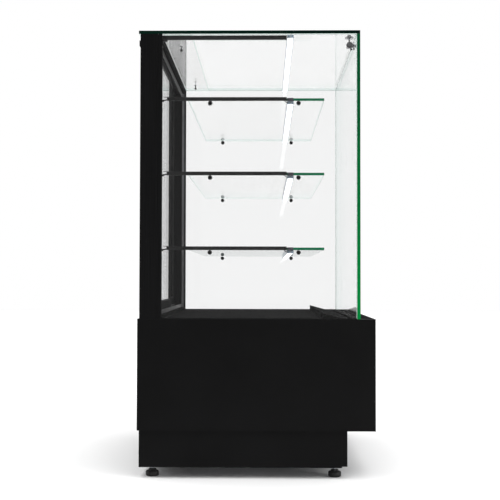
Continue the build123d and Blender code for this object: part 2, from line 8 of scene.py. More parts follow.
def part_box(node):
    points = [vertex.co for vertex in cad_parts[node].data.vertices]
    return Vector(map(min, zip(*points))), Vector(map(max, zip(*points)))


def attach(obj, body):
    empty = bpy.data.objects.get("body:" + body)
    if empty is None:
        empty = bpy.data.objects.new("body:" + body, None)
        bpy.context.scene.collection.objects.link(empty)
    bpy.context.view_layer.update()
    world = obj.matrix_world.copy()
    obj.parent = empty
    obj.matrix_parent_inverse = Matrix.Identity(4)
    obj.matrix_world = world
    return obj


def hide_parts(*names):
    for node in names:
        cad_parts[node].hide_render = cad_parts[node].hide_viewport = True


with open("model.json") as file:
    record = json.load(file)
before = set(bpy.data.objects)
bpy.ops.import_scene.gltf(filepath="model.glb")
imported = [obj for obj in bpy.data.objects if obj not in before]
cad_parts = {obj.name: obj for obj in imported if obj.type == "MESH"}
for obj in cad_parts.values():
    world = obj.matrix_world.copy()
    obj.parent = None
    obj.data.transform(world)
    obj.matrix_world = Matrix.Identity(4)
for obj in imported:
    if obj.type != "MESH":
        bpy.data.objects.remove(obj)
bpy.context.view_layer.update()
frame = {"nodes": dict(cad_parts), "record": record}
NODES = frame["nodes"]
MM = 0.001

# ---------------------------------------------------------------- camera, floor and light
CAMERA_AT = Vector((-3.3809, -0.0282, 0.6015))
CAMERA_YAW, CAMERA_PITCH, CAMERA_ROLL = 0.0161, 0.0288, 0.0019
CAMERA_LENS = 70.33


def make_camera():
    data = bpy.data.cameras.new("camera")
    data.lens = CAMERA_LENS
    data.clip_end = 60
    camera = bpy.data.objects.new("camera", data)
    forward = Vector((
        math.cos(CAMERA_PITCH) * math.cos(CAMERA_YAW),
        math.cos(CAMERA_PITCH) * math.sin(CAMERA_YAW),
        math.sin(CAMERA_PITCH),
    ))
    right = forward.cross(Vector((0, 0, 1))).normalized()
    up = right.cross(forward)
    tilted_right = right * math.cos(CAMERA_ROLL) + up * math.sin(CAMERA_ROLL)
    tilted_up = up * math.cos(CAMERA_ROLL) - right * math.sin(CAMERA_ROLL)
    turn = Matrix((tilted_right, tilted_up, -forward)).transposed()
    camera.matrix_world = Matrix.Translation(CAMERA_AT) @ turn.to_4x4()
    bpy.context.scene.collection.objects.link(camera)
    bpy.context.scene.camera = camera


def area_light(name, at, aim, width, height, power):
    data = bpy.data.lights.new(name, "AREA")
    data.shape = "RECTANGLE"
    data.size = width
    data.size_y = height
    data.energy = power
    light = bpy.data.objects.new(name, data)
    light.location = at
    light.rotation_mode = "QUATERNION"
    light.rotation_quaternion = (Vector(aim) - Vector(at)).to_track_quat("-Z", "Y")
    light.visible_camera = False
    bpy.context.scene.collection.objects.link(light)


def sky_light(strength, tilt_x, tilt_y):
    """A wide, even light from above and from the camera's side of the case."""
    data = bpy.data.lights.new("sky", "SUN")
    data.energy = strength
    data.angle = math.radians(60)
    light = bpy.data.objects.new("sky", data)
    light.rotation_mode = "QUATERNION"
    light.rotation_quaternion = Vector((tilt_x, tilt_y, -1)).to_track_quat("-Z", "Y")
    bpy.context.scene.collection.objects.link(light)


def make_world(backdrop, far, near):
    """A white backdrop, and for light and reflections a room that is bright past +X and dimmer past -X."""
    world = bpy.data.worlds.new("studio")
    bpy.context.scene.world = world
    world.use_nodes = True
    nodes = Nodes(world.node_tree)
    nodes.tree.nodes.clear()
    white = (1, 1, 1, 1)
    parts = nodes.node("ShaderNodeSeparateXYZ", Vector=nodes.node("ShaderNodeTexCoord").outputs["Generated"])
    room = nodes.spread(parts.outputs["X"], near, far, -0.5, 0.4)
    around = nodes.node("ShaderNodeBackground", Color=white, Strength=room)
    seen = nodes.node("ShaderNodeBackground", Color=white, Strength=backdrop)
    camera_ray = nodes.node("ShaderNodeLightPath").outputs["Is Camera Ray"]
    nodes.node("ShaderNodeOutputWorld", Surface=nodes.layered(camera_ray, around, seen))


def make_floor():
    """A pale floor that stops short of the dim side of the room."""
    size, near = 14.0, 3.2
    mesh = bpy.data.meshes.new("studio_floor")
    corners = [(-near, -size, 0), (size, -size, 0), (size, size, 0), (-near, size, 0)]
    mesh.from_pydata(corners, [], [(0, 1, 2, 3)])
    floor = bpy.data.objects.new("studio_floor", mesh)
    bpy.context.scene.collection.objects.link(floor)
    mat = Paint("studio_floor")
    cloud = mat.noise(scale=0.8, detail=2)
    mat.colour(mat.ramp(cloud, (0.3, (0.93, 0.93, 0.93)), (0.7, (0.95, 0.95, 0.95))))
    mat.set(roughness=0.9, specular=0.0)
    mesh.materials.append(mat.material)


# ---------------------------------------------------------------- node and material helpers
class Nodes:
    """Adds nodes to a tree. An underscore in an input's name stands for a space."""

    def __init__(self, tree):
        self.tree = tree

    def node(self, kind, **inputs):
        made = self.tree.nodes.new(kind)
        for key, value in inputs.items():
            self.put(made.inputs[key.replace("_", " ")], value)
        return made

    def put(self, socket, value):
        if isinstance(value, bpy.types.NodeSocket):
            self.tree.links.new(value, socket)
        else:
            socket.default_value = value

    def spread(self, value, low, high, floor=0.3, ceiling=0.7):
        """Maps a pattern that runs from floor to ceiling onto low to high."""
        limits = {"From_Min": floor, "From_Max": ceiling, "To_Min": low, "To_Max": high}
        return self.node("ShaderNodeMapRange", Value=value, **limits).outputs[0]

    def layered(self, share, first, second):
        """The first shader where share is 0 and the second where it is 1."""
        made = self.node("ShaderNodeMixShader")
        for socket, value in zip(made.inputs, (share, first.outputs[0], second.outputs[0])):
            self.put(socket, value)
        return made.outputs[0]


class Paint(Nodes):
    """A Principled material with procedural colour, roughness and bump, in the row frame's metres."""

    def __init__(self, name):
        self.material = bpy.data.materials.new(name)
        self.material.use_nodes = True
        super().__init__(self.material.node_tree)
        self.shader = self.tree.nodes["Principled BSDF"]
        self.output = self.tree.nodes["Material Output"]
        self.place = self.tree.nodes.new("ShaderNodeTexCoord").outputs["Object"]
        self.height = None

    def stretched(self, scale):
        """Coordinates scaled along each axis, so that a pattern is drawn out where the scale is small."""
        return self.node("ShaderNodeMapping", Vector=self.place, Scale=scale).outputs[0]

    def noise(self, scale, detail=3, stretch=None, rough=0.5):
        where = self.place if stretch is None else self.stretched(stretch)
        made = self.node("ShaderNodeTexNoise", Vector=where, Scale=scale, Detail=detail, Roughness=rough)
        return made.outputs["Fac"]

    def along(self, axis, low, high):
        """0 to 1 from low to high along one axis, in metres."""
        parts = self.node("ShaderNodeSeparateXYZ", Vector=self.place)
        return self.spread(parts.outputs[axis], 0.0, 1.0, low, high)

    def ramp(self, value, *stops):
        made = self.node("ShaderNodeValToRGB", Fac=value)
        elements = made.color_ramp.elements
        for i, (at, colour) in enumerate(stops):
            element = elements[i] if i < 2 else elements.new(at)
            element.position = at
            element.color = (*colour, 1)
        return made.outputs["Color"]

    def maths(self, operation, a, b=0.0):
        made = self.node("ShaderNodeMath")
        made.operation = operation
        self.put(made.inputs[0], a)
        self.put(made.inputs[1], b)
        return made.outputs[0]

    def mix(self, share, a, b):
        made = self.node("ShaderNodeMix")
        made.data_type = "RGBA"
        self.put(made.inputs[0], share)
        for socket, value in ((made.inputs[6], a), (made.inputs[7], b)):
            self.put(socket, value if isinstance(value, bpy.types.NodeSocket) else (*value, 1))
        return made.outputs[2]

    def edges(self, radius):
        """1 at a convex or concave edge that a soft normal rounds over, 0 on a flat."""
        soft = self.node("ShaderNodeBevel", Radius=radius)
        soft.samples = 4
        flat = self.node("ShaderNodeNewGeometry")
        dot = self.node("ShaderNodeVectorMath")
        dot.operation = "DOT_PRODUCT"
        self.put(dot.inputs[0], soft.outputs[0])
        self.put(dot.inputs[1], flat.outputs["Normal"])
        return self.spread(dot.outputs["Value"], 0.0, 1.0, 1.0, 0.75)

    def colour(self, value):
        self.put(self.shader.inputs["Base Color"], value)

    def roughness(self, value):
        self.put(self.shader.inputs["Roughness"], value)

    def bump(self, height, distance, strength=1.0):
        made = self.node("ShaderNodeBump", Height=height, Distance=distance, Strength=strength)
        if self.height is not None:
            self.tree.links.new(self.height, made.inputs["Normal"])
        self.height = made.outputs[0]
        self.tree.links.new(self.height, self.shader.inputs["Normal"])

    def set(
        self, roughness=None, metallic=None, specular=None, coat=None, coat_roughness=None, emission=None,
    ):
        values = {
            "Roughness": roughness,
            "Metallic": metallic,
            "Specular IOR Level": specular,
            "Coat Weight": coat,
            "Coat Roughness": coat_roughness,
            "Emission Strength": emission,
        }
        for key, value in values.items():
            if value is not None:
                self.shader.inputs[key].default_value = value


# ---------------------------------------------------------------- materials
GLASS_IOR = 1.42


def powder_coat(name, dark, light, specular=0.25, roughness=(0.42, 0.55), grain=900, coat=0.0):
    """Satin powder coat: fine orange peel, faint clouding and a painted highlight along its edges and inner
    corners.
    """
    mat = Paint(name)
    cloud = mat.noise(scale=6, detail=4)
    base = mat.ramp(cloud, (0.3, dark), (0.7, light))
    # Painted highlight: the edge mask lightens the colour along edges and inner corners.
    painted_edge_highlight = tuple(channel * 2.2 + 0.006 for channel in light)
    mat.colour(mat.mix(mat.maths("MULTIPLY", mat.edges(0.0012), 0.5), base, painted_edge_highlight))
    mat.roughness(mat.spread(mat.noise(scale=14, detail=5), *roughness))
    mat.bump(mat.noise(scale=grain, detail=2), distance=0.00004, strength=0.6)
    mat.set(specular=specular, coat=coat, coat_roughness=0.5)
    return mat.material


def extrusion(name, dark, light, stretch, specular=0.3, coat=0.0):
    """Black anodised extrusion: hairline die marks along its length, and a painted highlight along its
    edges.
    """
    mat = Paint(name)
    lines = mat.noise(scale=400, detail=3, stretch=stretch)
    base = mat.ramp(lines, (0.35, dark), (0.65, light))
    # Painted highlight: the edge mask lightens the colour along edges and inner corners.
    painted_edge_highlight = tuple(channel * 3 + 0.01 for channel in light)
    mat.colour(mat.mix(mat.maths("MULTIPLY", mat.edges(0.0008), 0.6), base, painted_edge_highlight))
    mat.roughness(mat.spread(mat.noise(scale=9, detail=4), 0.32, 0.46))
    mat.bump(lines, distance=0.00002, strength=0.5)
    mat.set(specular=specular, coat=coat, coat_roughness=0.4)
    return mat.material


def clear_glass(name, tint, mirror, smudge=0.03):
    """Polished pane face: clear straight on, mirror at a glancing angle, with the faintest wiped haze."""
    mat = Paint(name)
    clear = mat.node("ShaderNodeBsdfTransparent", Color=(*tint, 1))
    haze = mat.noise(scale=5, detail=6, stretch=(1, 1, 0.4))
    gloss = mat.node("ShaderNodeBsdfGlossy", Roughness=mat.spread(haze, 0.0, smudge))
    gloss.inputs["Color"].default_value = (mirror, mirror, mirror, 1)
    inside = mat.node("ShaderNodeNewGeometry").outputs["Backfacing"]
    # The inverted ratio on back faces gives the same mirror from either side.
    bend = mat.spread(inside, GLASS_IOR, 1 / GLASS_IOR, floor=0.0, ceiling=1.0)
    fresnel = mat.node("ShaderNodeFresnel", IOR=bend)
    mat.put(mat.output.inputs["Surface"], mat.layered(fresnel.outputs[0], clear, gloss))
    mat.tree.nodes.remove(mat.shader)
    return mat.material


def glass_edge(name, deep, bright, axis, low, high, inner=(0.70, 0.80, 0.78)):
    """Polished pane edge: a saturated green from outside, with painted light and shade along one axis, the
    inner colour from inside its pane.
    """
    mat = Paint(name)
    # Painted light and shade: the green runs from one colour to the other along an axis, as light falls on
    # the edge, with a little random tone on top.
    painted_light_and_tone = mat.maths("ADD", mat.along(axis, low, high), mat.spread(mat.noise(scale=7), -0.12, 0.12))
    base = mat.ramp(painted_light_and_tone, (0.0, deep), (1.0, bright))
    fine = mat.noise(scale=160, detail=3)
    mat.colour(mat.mix(mat.spread(fine, 0.0, 0.35), base, tuple(min(1.0, c * 1.5) for c in bright)))
    mat.roughness(mat.spread(fine, 0.12, 0.3))
    mat.bump(mat.noise(scale=1400, detail=2), distance=0.00002, strength=0.4)
    mat.set(specular=0.1)
    inside = mat.node("ShaderNodeNewGeometry").outputs["Backfacing"]
    through = mat.node("ShaderNodeBsdfTransparent", Color=(*inner, 1))
    mat.put(mat.output.inputs["Surface"], mat.layered(inside, mat.shader, through))
    return mat.material


def metal(name, colour, roughness, stretch=(1, 1, 1), scale=300, lines=0.00002, tone=0.85):
    """Bare or plated metal with drawn-out hairlines and a soft change of tone."""
    mat = Paint(name)
    hair = mat.noise(scale=scale, detail=4, stretch=stretch)
    dull = tuple(channel * tone for channel in colour)
    mat.colour(mat.ramp(mat.noise(scale=25, detail=4), (0.3, dull), (0.7, colour)))
    mat.roughness(mat.spread(hair, *roughness))
    mat.bump(hair, distance=lines, strength=0.5)
    mat.set(metallic=1.0)
    return mat.material


def plastic(name, dark, light, roughness, grain=1200, specular=0.4, depth=0.00005):
    """Moulded plastic with a fine spark-eroded texture."""
    mat = Paint(name)
    mat.colour(mat.ramp(mat.noise(scale=30, detail=4), (0.3, dark), (0.7, light)))
    mat.roughness(mat.spread(mat.noise(scale=90, detail=4), *roughness))
    mat.bump(mat.noise(scale=grain, detail=3), distance=depth, strength=0.5)
    mat.set(specular=specular)
    return mat.material


def silicone(name):
    """Clear sealant: a milky, half see-through bead."""
    mat = Paint(name)
    mat.colour(mat.ramp(mat.noise(scale=40), (0.3, (0.62, 0.68, 0.67)), (0.7, (0.75, 0.80, 0.79))))
    mat.roughness(mat.spread(mat.noise(scale=90), 0.2, 0.35))
    mat.bump(mat.noise(scale=300), distance=0.00005, strength=0.5)
    mat.set(specular=0.4)
    mat.shader.inputs["Alpha"].default_value = 0.35
    return mat.material


def light_strip(name, colour, strength, body=(0.9, 0.92, 0.94), bright=(1, 1, 1)):
    """Opal plastic lit from within, with faintly uneven light."""
    mat = Paint(name)
    grain = mat.noise(scale=500, detail=2)
    mat.colour(mat.ramp(grain, (0.3, body), (0.7, tuple(min(1.0, c * 1.05) for c in body))))
    mat.put(
        mat.shader.inputs["Emission Color"], mat.ramp(mat.noise(scale=60), (0.3, colour), (0.7, bright)),
    )
    mat.roughness(mat.spread(grain, 0.3, 0.4))
    mat.bump(grain, distance=0.00002, strength=0.3)
    mat.set(emission=strength)
    return mat.material


# ---------------------------------------------------------------- mesh helpers
def scaled(*points):
    """Points given in millimetres, as a list in metres."""
    return [tuple(value * MM for value in point) for point in points]


def finish_mesh(name, bm, materials, body, replaces=(), sharp=35):
    """Turns a bmesh into a piece that rides on a body."""
    bmesh.ops.recalc_face_normals(bm, faces=bm.faces)
    mesh = bpy.data.meshes.new(name)
    bm.to_mesh(mesh)
    bm.free()
    for mat in materials:
        mesh.materials.append(mat)
    mesh.polygons.foreach_set("use_smooth", [True] * len(mesh.polygons))
    mesh.set_sharp_from_angle(angle=math.radians(sharp))
    piece = bpy.data.objects.new(name, mesh)
    bpy.context.scene.collection.objects.link(piece)
    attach(piece, body)
    if replaces:
        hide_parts(*replaces)
    return piece


def add_box(bm, low, high, round_by=0.0, segments=2, material=0):
    """A box from corner to corner with all its edges rounded. Returns its faces."""
    low, high = Vector(map(min, low, high)), Vector(map(max, low, high))
    made = bmesh.ops.create_cube(bm, size=1.0)
    for vert in made["verts"]:
        vert.co = Vector([(low[i] + high[i]) / 2 + vert.co[i] * (high[i] - low[i]) for i in range(3)])
    verts = made["verts"]
    faces = list({face for vert in verts for face in vert.link_faces})
    if round_by:
        edges = list({edge for vert in verts for edge in vert.link_edges})
        old = set(bm.faces) - set(faces)
        bmesh.ops.bevel(bm, geom=edges, offset=round_by, segments=segments, profile=0.5, affect="EDGES")
        faces = [face for face in bm.faces if face not in old]
    for face in faces:
        face.material_index = material
    return faces


def frame_of(axis):
    """An axis and two directions square to it."""
    axis = Vector(axis).normalized()
    side = axis.orthogonal().normalized()
    return axis, side, axis.cross(side)


def add_sheet(bm, grid):
    """Joins rows of vertices with faces into an open sheet."""
    for a, b in zip(grid, grid[1:]):
        for k in range(len(a) - 1):
            bm.faces.new((a[k], a[k + 1], b[k + 1], b[k]))


def stitch(bm, rings, material=0):
    """Joins rings of vertices with faces. A ring of one vertex closes an end."""
    sides = max(len(ring) for ring in rings)
    for a, b in zip(rings, rings[1:]):
        for i in range(sides):
            j = (i + 1) % sides
            corners = [a[i % len(a)], a[j % len(a)], b[j % len(b)], b[i % len(b)]]
            face = bm.faces.new(list(dict.fromkeys(corners)))
            face.material_index = material


def cross_recess(turn):
    """Share of the radius at this turn, for a four-armed driver recess."""
    return 1.0 if abs((turn + math.pi / 4) % (math.pi / 2) - math.pi / 4) < 0.2 else 0.38


def add_turned(bm, origin, axis, profile, sides=24, material=0, shape=None, shaped=()):
    """Turns (distance along the axis, radius) points. The rings in shaped follow shape(turn)."""
    axis, side, other = frame_of(axis)
    origin = Vector(origin)
    rings = []
    for index, (along, radius) in enumerate(profile):
        middle = origin + axis * along
        if radius == 0:
            rings.append([bm.verts.new(middle)])
            continue
        ring = []
        for i in range(sides):
            turn = 2 * math.pi * i / sides
            reach = radius * (shape(turn) if shape and index in shaped else 1.0)
            ring.append(bm.verts.new(middle + (side * math.cos(turn) + other * math.sin(turn)) * reach))
        rings.append(ring)
    stitch(bm, rings, material)


def add_tube(bm, points, radius, sides=12, material=0):
    """A round bar along a list of points."""
    points = [Vector(point) for point in points]
    axis, side, other = frame_of(points[1] - points[0])
    rings = [[bm.verts.new(points[0])]]
    for i, point in enumerate(points):
        ahead = points[min(i + 1, len(points) - 1)] - points[max(i - 1, 0)]
        turn = axis.rotation_difference(ahead.normalized())
        axis, side, other = turn @ axis, turn @ side, turn @ other
        rings.append([
            bm.verts.new(point + (side * math.cos(t) + other * math.sin(t)) * radius)
            for t in (2 * math.pi * k / sides for k in range(sides))
        ])
    rings.append([bm.verts.new(points[-1])])
    stitch(bm, rings, material)


def add_prism(bm, outline, axis, low, high, material=0):
    """A closed outline of two-number points drawn out along one axis, from low to high."""
    def place(u, v, t):
        spot = [u, v]
        spot.insert(axis, t)
        return spot

    ends = [[bm.verts.new(place(u, v, t)) for u, v in outline] for t in (low, high)]
    stitch(bm, ends, material)
    for ring in ends:
        bm.faces.new(ring).material_index = material


def add_screw(bm, at, axis, radius, material=0):
    """A pan-head screw with a driver recess. at is where its head sits on the panel."""
    height = radius * 0.55
    profile = [
        (0, radius), (height * 0.45, radius * 0.98), (height * 0.85, radius * 0.75), (height, radius * 0.58),
        (height, radius * 0.52), (height * 0.35, radius * 0.42), (height * 0.35, 0),
    ]
    add_turned(bm, at, axis, profile, sides=32, material=material, shape=cross_recess, shaped=(4, 5))


def pane(name, low, high, round_by, materials, body, replaces):
    """A glass pane: clear faces on its two large sides and edge glass all round. A third material, when
    given, is the tape that beds its rear and lower edges."""
    bm = bmesh.new()
    faces = add_box(bm, low, high, round_by, material=1)
    size = [high[i] - low[i] for i in range(3)]
    thin = size.index(min(size))
    for face in faces:
        face.normal_update()
        if abs(face.normal[thin]) > 0.99:
            face.material_index = 0
        elif len(materials) > 2 and max(face.normal.y, -face.normal.z) > 0.3:
            face.material_index = 2
    return finish_mesh(name, bm, materials, body, replaces, sharp=20)


# ---------------------------------------------------------------- glass box
def make_panes():
    """Every fixed pane, with tape on the rear and lower edges of the side panes."""
    edges = {
        "top_glass": EDGE_TOP, "front_glass": EDGE_FRONT,
        "side_glass_left": EDGE_SIDE, "side_glass_right": EDGE_SIDE,
        "shelf_top": EDGE_SHELF, "shelf_middle": EDGE_SHELF, "shelf_bottom": EDGE_SHELF,
        "rear_glass_strip": EDGE_PALE,
    }
    for node, edge in edges.items():
        low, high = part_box(node)
        clear = CLEAR_LEVEL if high.z - low.z < 20 * MM else CLEAR
        tape = [RUBBER] if node.startswith("side_glass") else []
        pane(node + "_pane", low, high, 0.6 * MM, [clear, edge] + tape, "case", [node])


def make_seals():
    """Silicone beads in the inner corners of the glass box, and rubber ones along its foot."""
    front_low, front_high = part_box("front_glass")
    bm = bmesh.new()
    size = 2.2 * MM

    def bead(axis, corner, toward, low, high, material=0):
        """A quarter bead in a corner, toward the inside of the box."""
        steps = 5
        arc = []
        for t in (math.pi / 2 * k / steps for k in range(steps + 1)):
            reach = [size * (1 - math.sin(t)), size * (1 - math.cos(t))]
            arc.append(tuple(corner[i] + toward[i] * reach[i] for i in (0, 1)))
        add_prism(bm, [tuple(corner)] + arc, axis, low, high, material)

    foot, roof = front_low.z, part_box("top_glass")[0].z
    for side in ("left", "right"):
        low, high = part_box("side_glass_" + side)
        inner, toward = (high.x, 1) if side == "left" else (low.x, -1)
        bead(1, (inner, roof), (toward, -1), low.y, high.y)
        bead(1, (inner, foot), (toward, 1), low.y, high.y, 1)
        bead(2, (inner, front_high.y), (toward, 1), foot, roof)
    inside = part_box("side_glass_left")[1].x
    bead(0, (front_high.y, roof), (1, -1), inside, -inside)
    bead(0, (front_high.y, foot), (1, 1), inside, -inside, 1)
    finish_mesh("glass_seals", bm, [SILICONE, RUBBER], "case")


def make_clamp():
    """Three-way glass clamp: a rounded body with a black cap, and a stud, plate and pad to each pane."""
    side_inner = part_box("side_glass_left")[1].x
    front_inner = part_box("front_glass")[1].y
    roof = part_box("top_glass")[0].z
    middle = Vector((side_inner + 19 * MM, front_inner + 21 * MM, roof - 32 * MM))
    bm = bmesh.new()
    half = 8.5 * MM
    add_box(bm, middle - Vector((half,) * 3), middle + Vector((half,) * 3), 3.2 * MM, 4)
    arms = (
        ((0, 0, 1), roof - middle.z, 13.0 * MM),
        ((-1, 0, 0), middle.x - side_inner, 10.0 * MM),
        ((0, -1, 0), middle.y - front_inner, 12.0 * MM),
    )
    for direction, reach, radius in arms:
        axis = Vector(direction)
        neck, rim = 2.6 * MM, 0.5 * MM
        plate = reach - 5 * MM
        stub, foot, end = neck * 1.5, neck * 2.4, reach - 0.1 * MM
        back = plate - 4.4 * MM
        profile = [
            (half * 0.5, 0), (half * 0.8, neck), (plate - 7 * MM, neck), (plate - 5.4 * MM, neck * 2),
            (back, radius - rim), (back + rim, radius), (plate - rim, radius), (plate, radius - rim),
            (plate, stub), (reach - 2 * MM, stub), (reach - 2 * MM, foot), (end, foot), (end, 0),
        ]
        add_turned(bm, middle, axis, profile, sides=32)
    cap = middle + Vector((half - 0.2 * MM, 0, 0))
    add_turned(bm, cap, (1, 0, 0), scaled((0, 5), (0.8, 4.6), (0.8, 0)), material=1)
    knob = middle + Vector((0, -6 * MM, -half))
    add_turned(bm, knob, (0, 0, -1), scaled((0, 3), (3.5, 3), (4.5, 2), (4.5, 0)), material=1)
    dark = middle + Vector((-half + 0.1 * MM, 2 * MM, 1 * MM))
    add_turned(bm, dark, (-1, 0, 0), scaled((0, 4.6), (1.2, 4.2), (1.6, 3.4), (1.6, 0)), material=1)
    finish_mesh("corner_clamp_body", bm, [CAST, PLASTIC], "case", ["corner_clamp"])


# ---------------------------------------------------------------- shelves and lamps
SHELVES = ("shelf_bottom", "shelf_middle", "shelf_top")


def pin_places():
    """Where the shelf pins meet the side glass: (point on the glass, direction into the case)."""
    low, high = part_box("shelf_pin_pads")
    radius = 7 * MM
    rear, front = high.y - radius, low.y + radius
    for shelf in SHELVES:
        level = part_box(shelf)[0].z - radius
        for x, inward in ((low.x, 1), (high.x, -1)):
            for y in (rear, front):
                yield Vector((x, y, level)), Vector((inward, 0, 0))


def make_pins():
    """Chrome sleeves with a black pad against the glass and a black cap on the inner end."""
    sleeves, pads = bmesh.new(), bmesh.new()
    outer, core, reach = 7, 5.6, 17.5
    for at, inward in pin_places():
        add_turned(pads, at, inward, scaled((0, 0), (0, outer * 0.78), (1.4, outer * 0.8), (1.4, 0)))
        profile = scaled(
            (1.5, 0), (1.5, outer - 0.5), (2, outer), (reach - 1, outer), (reach - 0.3, outer - 0.7),
            (reach - 0.3, core + 0.3), (reach - 1.2, core), (reach - 1.2, 0),
        )
        add_turned(sleeves, at, inward, profile, sides=32)
        face = scaled(
            (reach - 1.6, 0), (reach - 1.6, core), (reach - 0.4, core), (reach, core * 0.75), (reach, 0),
        )
        add_turned(sleeves, at, inward, face, sides=32, material=1)
    finish_mesh("shelf_pin_sleeves", sleeves, [CHROME, RUBBER], "case", ["shelf_pins"])
    finish_mesh("shelf_pin_rubber", pads, [RUBBER], "case", ["shelf_pin_pads"])


def lamp_tops():
    return [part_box(shelf)[0].z for shelf in SHELVES] + [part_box("top_glass")[0].z]


def make_lamps():
    """Lamp housings, their end caps with a screw, a clip on each shelf's edge and the leads beside it."""
    low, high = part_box("lamp_housings")
    bodies, caps = bmesh.new(), bmesh.new()
    front, rear = low.y, high.y
    deep, wall = 8 * MM, 1.4 * MM
    reach = high.x
    for top in lamp_tops():
        lip, recess = top - deep - 1.2 * MM, top - deep + 0.1 * MM
        outline = [
            (front + 1 * MM, top), (rear - 1 * MM, top), (rear, top - 1 * MM), (rear, lip),
            (rear - wall, lip), (rear - wall, recess), (front + wall, recess),
            (front + wall, lip), (front, lip), (front, top - 1 * MM),
        ]
        add_prism(bodies, outline, 0, -reach, reach)
        for side in (-1, 1):
            x = side * reach
            add_box(
                caps, (x, front + 0.4 * MM, top - deep - 1.4 * MM),
                (x + side * 3.6 * MM, rear - 0.4 * MM, top - 0.4 * MM), 1.2 * MM, 3,
            )
            at = (x + side * 3.5 * MM, (front + rear) / 2, top - deep * 0.6)
            add_screw(caps, at, (side, 0, 0), 2.2 * MM, material=1)
    finish_mesh("lamp_bodies", bodies, [SATIN], "case", ["lamp_housings"])
    edge_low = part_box("wire_channels")[0].x
    for shelf in SHELVES:
        glass_low, glass_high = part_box(shelf)
        x = (edge_low, glass_low.x - 0.3 * MM)
        add_box(
            caps, (x[0], front + 1 * MM, glass_low.z - 1 * MM),
            (x[1], rear - 1 * MM, glass_high.z + 0.6 * MM), 0.8 * MM, 2, 2,
        )
        start = Vector((sum(x) / 2, rear + 10 * MM, glass_low.z + 2 * MM))
        end = Vector((sum(x) / 2, rear - 2 * MM, glass_low.z - 6.5 * MM))
        bend = Vector((sum(x) / 2, rear + 3 * MM, glass_low.z - 6 * MM))
        lead = [start.lerp(bend, t).lerp(bend.lerp(end, t), t) for t in (k / 8 for k in range(9))]
        add_tube(caps, lead, 1.1 * MM, material=3)
    finish_mesh("lamp_caps", caps, [CAP, CHROME, CLIP, RUBBER], "case", ["lamp_end_caps"])


def make_studs():
    """Hangers below the glass strip: a washer, a bright stem and a black foot."""
    low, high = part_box("strip_studs")
    bm = bmesh.new()
    y = (low.y + high.y) / 2
    for x in (low.x + 5 * MM, high.x - 5 * MM):
        at = Vector((x, y, high.z))
        stem = scaled((0, 0), (0, 5), (1.6, 5), (2, 2.4), (11, 2.4), (11, 0))
        add_turned(bm, at, (0, 0, -1), stem)
        foot = scaled((10.5, 0), (10.5, 3.4), (11, 4), (16, 4), (16.5, 3.4), (16.5, 0))
        add_turned(bm, at, (0, 0, -1), foot, material=1)
    finish_mesh("strip_hangers", bm, [CHROME, PLASTIC], "case", ["strip_studs"])


def make_channel_ends():
    """A black plug on each shelf's conduit, and a block where the top conduit meets the post."""
    low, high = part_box("wire_channels")
    bm = bmesh.new()
    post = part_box("rear_post_left")[0].y
    for shelf in SHELVES:
        glass_low, glass_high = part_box(shelf)
        x = (low.x, glass_low.x)
        plug = Vector((sum(x) / 2, high.y - 12 * MM, glass_high.z))
        add_box(
            bm, (x[0] + 0.4 * MM, plug.y - 7 * MM, plug.z + 2.6 * MM),
            (x[1] - 0.6 * MM, plug.y + 7 * MM, plug.z + 4 * MM), 0.5 * MM,
        )
    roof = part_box("top_glass")[0].z
    add_box(
        bm, (low.x, post - 16 * MM, roof - 21 * MM), (low.x + 10 * MM, post - 0.2 * MM, roof - 4.5 * MM),
        1.2 * MM,
    )
    finish_mesh("channel_ends", bm, [PLASTIC], "case")


def make_post_trim():
    """Glazing seals beside the side panes' channels, on the posts' inner faces; their pale grey is a painted
    highlight along each post.
    """
    bm = bmesh.new()
    for side in ("left", "right"):
        low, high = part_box("rear_post_" + side)
        step = low.y + 13.4 * MM
        face, out = (low.x + 24 * MM, 1) if side == "left" else (high.x - 24 * MM, -1)
        lip, front = face + out * 2.4 * MM, step - 0.2 * MM
        outline = [
            (face, front), (lip, front), (lip, step - 5 * MM),
            (face + out * 1.2 * MM, step - 8 * MM), (face, step - 8.4 * MM),
        ]
        add_prism(bm, outline, 2, low.z + 10 * MM, high.z - 18 * MM)
    finish_mesh("post_glazing_seals", bm, [SEAL_PAINTED_HIGHLIGHT], "case")


